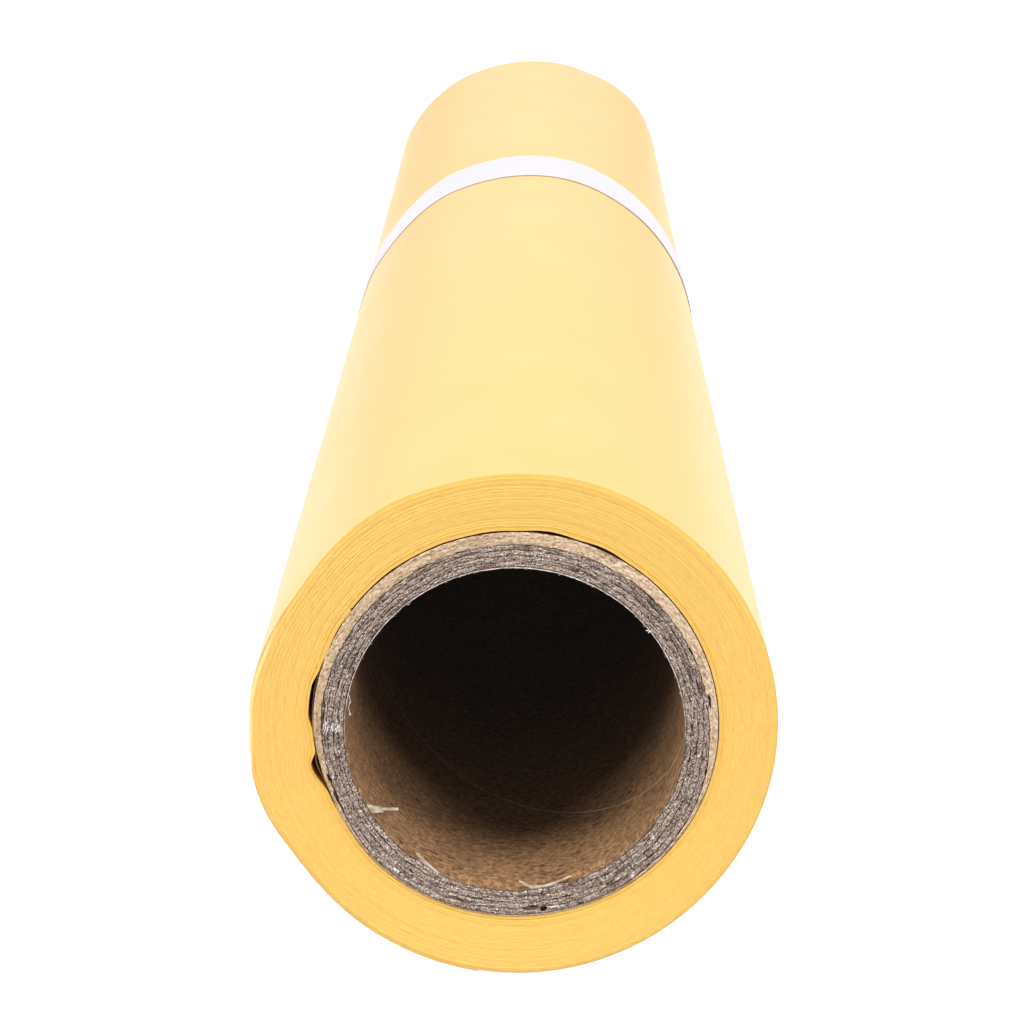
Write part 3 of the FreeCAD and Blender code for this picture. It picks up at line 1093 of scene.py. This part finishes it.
def near_end_threads():
    """The long fibres, the specks, the tufts and the fringe."""
    threads = [thread_rings(near_end_path(places, 14), thick) for thick, *places in LONG_FIBRES]

    def add(places, thick):
        threads.append(thread_rings(near_end_path(places, 4), thick))

    for angle, radius, size in SPECKS:
        reach = math.degrees(1.6 * size / radius)
        low_end, high_end = (angle - reach, radius - 0.05, 0.22), (angle + reach, radius + 0.06, 0.22)
        add((low_end, (angle, radius, 0.18), high_end), size)
    for centre, middle, width, count in TUFTS:
        for _ in range(count):
            angle = centre + math.degrees(rng.normal(0, width) / middle)
            radius = middle + rng.normal(0, width * 0.6)
            reach = rng.uniform(0.5, 1.1)
            low_end, high_end = (angle - reach, radius - 0.1, 0.15), (angle + reach, radius + 0.15, 0.14)
            add((low_end, (angle, radius, 0.11), high_end), rng.uniform(0.05, 0.09))
    for _ in range(FRINGE):
        angle = rng.uniform(0, TURN)
        reach = rng.uniform(0.08, 0.3)
        bend = rng.normal(0, 0.7)
        edge = bore_edge(angle)
        root, middle = (angle, edge + 0.05, 0.1), (angle + bend * 0.2, edge - reach * 0.5, 0.08)
        tip = (angle + bend, edge - reach, rng.uniform(0.08, 0.4))
        add((root, middle, tip), rng.uniform(0.015, 0.03))
    return threads


# Slivers of paper torn from the liner: points of angle, radius, depth and half width
SLIVERS = [
    # points into the bore from the lower left, with a shorter prong below it
    [(209.8, 25.9, 0.25, 0.5), (211.4, 24.9, 0.3, 0.3), (213.6, 23.8, 0.4, 0.2), (217.0, 22.1, 0.7, 0.17)],
    [(211.5, 25.8, 0.3, 0.4), (212.6, 25.0, 0.35, 0.28), (214.3, 24.1, 0.45, 0.14)],
    # a strip that hangs along the bore's edge below it
    [(233.6, 25.1, 0.25, 0.12), (236.0, 25.35, 0.2, 0.24), (240.0, 25.8, 0.2, 0.22), (243.9, 26.2, 0.3, 0.1)],
    # a V of torn liner at the bottom
    [(271.3, 24.7, 0.4, 0.12), (273.3, 25.2, 0.3, 0.2), (275.5, 25.75, 0.25, 0.22)],
    [
        (275.0, 25.8, 0.25, 0.2), (280.0, 25.75, 0.2, 0.17), (285.0, 25.5, 0.25, 0.13),
        (289.4, 25.25, 0.4, 0.1),
    ],
]
SLIVER_THICK = 0.12


def sliver_rings(sliver):
    """A flat ribbon that lies across the near end, a little uneven in width."""
    centre = near_end_path([place[:3] for place in sliver], 10)
    marks = np.linspace(0, 1, len(sliver))
    half = np.interp(np.linspace(0, 1, len(centre)), marks, [place[3] for place in sliver])
    half = half * (1 + 0.09 * rng.normal(size=len(centre)))
    along = np.gradient(centre, axis=0)
    along[:, 1] = 0
    along /= np.linalg.norm(along, axis=1)[:, None]
    across = np.stack([-along[:, 2], np.zeros(len(along)), along[:, 0]], 1) * half[:, None]
    thick = np.array([0, SLIVER_THICK, 0])
    return np.stack([centre - across, centre + across, centre + across + thick, centre - across + thick], 1)


def make_fibres(pale, white, paper):
    finish_piece(rods("core_fibres", cut_face_fibres(1300)), "roll", "chipboard", [pale])
    finish_piece(rods("core_threads", near_end_threads()), "roll", "chipboard", [white])
    slivers = [sliver_rings(sliver) for sliver in SLIVERS]
    finish_piece(rods("core_slivers", slivers), "roll", "kraft_liner", [paper])


# ---------------------------------------------------------------- stage, lights and camera

FLOOR_REACH = 6.0            # metres each way


def make_floor():
    """A white floor that shines by itself and doesn't light the roll from below."""
    floor_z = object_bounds()[0][2]
    corners = [(x * FLOOR_REACH, y * FLOOR_REACH, floor_z) for x, y in ((-1, -1), (1, -1), (1, 1), (-1, 1))]
    mesh = bpy.data.meshes.new("floor")
    mesh.from_pydata(corners, [], [(0, 1, 2, 3)])
    floor = bpy.data.objects.new("floor", mesh)
    bpy.context.scene.collection.objects.link(floor)
    paint = Material("floor_paint", roughness=0.9, specular=0.1)
    paint.colour(paint.ramp(paint.noise(3), (0.3, (0.25, 0.25, 0.25)), (0.7, (0.27, 0.27, 0.27))))
    paint.glow(WHITE, 0.92)
    mesh.materials.append(paint.data)
    floor.visible_diffuse = False


def area_light(name, place, target, size, power):
    """A lamp that the camera doesn't see; places and sizes are in metres."""
    data = bpy.data.lights.new(name, "AREA")
    data.shape = "RECTANGLE"
    data.size, data.size_y = size
    data.energy = power
    lamp = bpy.data.objects.new(name, data)
    lamp.location = place
    lamp.rotation_euler = (Vector(target) - Vector(place)).to_track_quat("-Z", "Y").to_euler()
    lamp.visible_camera = False
    bpy.context.scene.collection.objects.link(lamp)


def make_light():
    world = bpy.data.worlds.new("studio")
    bpy.context.scene.world = world
    world.use_nodes = True
    background = world.node_tree.nodes["Background"]
    background.inputs["Color"].default_value = (*WHITE, 1.0)
    background.inputs["Strength"].default_value = 0.3
    near_end = (0.0, NEAR_Y * MM, 0.0)
    far_end = (0.0, FAR_Y * MM, 0.0)
    area_light("softbox", (0.0, -1.0, 2.45), near_end, (1.7, 0.7), 45.0)
    area_light("left_panel", (-1.5, -1.05, 0.75), near_end, (0.9, 0.9), 24.0)
    area_light("right_panel", (1.5, -1.05, 0.75), near_end, (0.9, 0.9), 25.0)
    area_light("left_rear", (-1.0, 0.75, 0.4), far_end, (0.6, 0.6), 6.0)
    area_light("right_rear", (1.0, 0.75, 0.4), far_end, (0.6, 0.6), 6.0)
    area_light("back_panel", (0.1, 2.6, 0.85), (0.0, 0.0, 0.0), (3.6, 1.4), 15.2)


CAMERA_PLACE = (3.9, -687.5, 152.1)
CAMERA_DOWN = 15.18          # degrees below level
CAMERA_TURN = 0.58           # degrees towards -X
CAMERA_LENS = 108.7


def make_camera():
    data = bpy.data.cameras.new("camera")
    data.lens = CAMERA_LENS
    data.sensor_width = 36.0
    data.clip_end = 20.0
    camera = bpy.data.objects.new("camera", data)
    camera.location = [value * MM for value in CAMERA_PLACE]
    camera.rotation_euler = (math.radians(90 - CAMERA_DOWN), 0, math.radians(CAMERA_TURN))
    bpy.context.scene.collection.objects.link(camera)
    bpy.context.scene.camera = camera


# ---------------------------------------------------------------- the whole scene

film, film_edge, liner_edge = film_material(), film_edge_material(), liner_edge_material()
lap_materials = (film, liner_back_material(), film_edge, liner_edge)
boards = [chipboard_material("chipboard_" + str(number + 1), number) for number in range(4)]

make_core(boards, tan_ply_material(), painted_shade_kraft_material(), bore_liner_material(), bore_edge_material())
make_fibres(
    fibre_material("loose_fibre", (0.36, 0.27, 0.21), (0.74, 0.64, 0.56)),
    fibre_material("white_fibre", (0.74, 0.70, 0.68), (0.93, 0.92, 0.94)),
    fibre_material("torn_paper", (0.45, 0.34, 0.25), (0.74, 0.62, 0.50)),
)
make_wound_web(film, film_edge, liner_edge)
make_lap("first_lap", 0.0, 1100, 10, first_lap_radius, first_lap_recess, lap_materials)
make_lap("last_lap", LAPS - 1.0, 600, 44, last_lap_radius, outer_recess, lap_materials)
make_start_tape(tape_material())
make_band(band_material(), glue_material())
make_floor()
make_light()
make_camera()
bpy.context.scene.view_settings.view_transform = "Standard"
